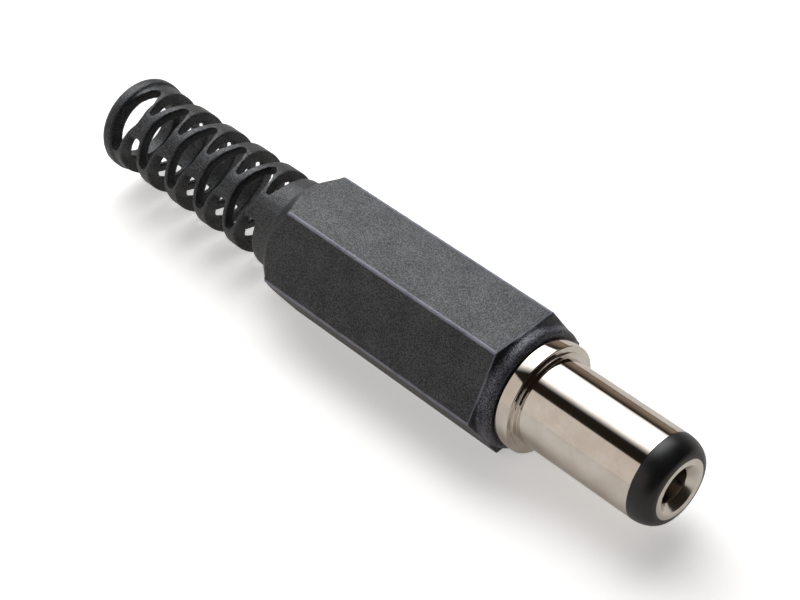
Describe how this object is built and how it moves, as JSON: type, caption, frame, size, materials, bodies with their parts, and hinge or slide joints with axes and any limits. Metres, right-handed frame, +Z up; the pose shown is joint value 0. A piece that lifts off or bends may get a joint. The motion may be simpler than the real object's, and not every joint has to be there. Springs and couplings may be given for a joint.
{
  "type": "dc barrel plug",
  "caption": "Inline DC barrel plug with a hexagonal screw-on handle and slotted bend relief, for soldering to a power cord.",
  "frame": {"origin": "on the plug axis in the front face of the flange, where the plug stops against a socket", "axes": "+X along the plug axis towards the tip, +Z up with the hexagon lying on one of its flats, +Y across"},
  "size_m": [0.046, 0.0092, 0.008],
  "materials": {
    "handle_plastic": "fine spark-eroded texture, matte",
    "nickel_plate": "bright nickel plate over brass, polished",
    "nose_plastic": "smooth, semi-gloss",
    "contact_plate": "satin nickel plate over brass",
    "washer_board": "punched laminate, matte",
    "tag_plate": "tin or nickel plate over stamped brass, satin"
  },
  "bodies": {
    "handle_body": {"handle": "handle_plastic"},
    "plug_insert": {"sleeve": "nickel_plate", "insulator": "nose_plastic", "centre_contact": "contact_plate", "rear_washer": "washer_board", "sleeve_tag": "tag_plate", "centre_tag": "tag_plate"}
  },
  "joints": [
    {"name": "sleeve_unscrew", "type": "slide", "parent": "handle_body", "child": "plug_insert", "axis": [1, 0, 0], "range_m": [0, 0.018]}
  ]
}
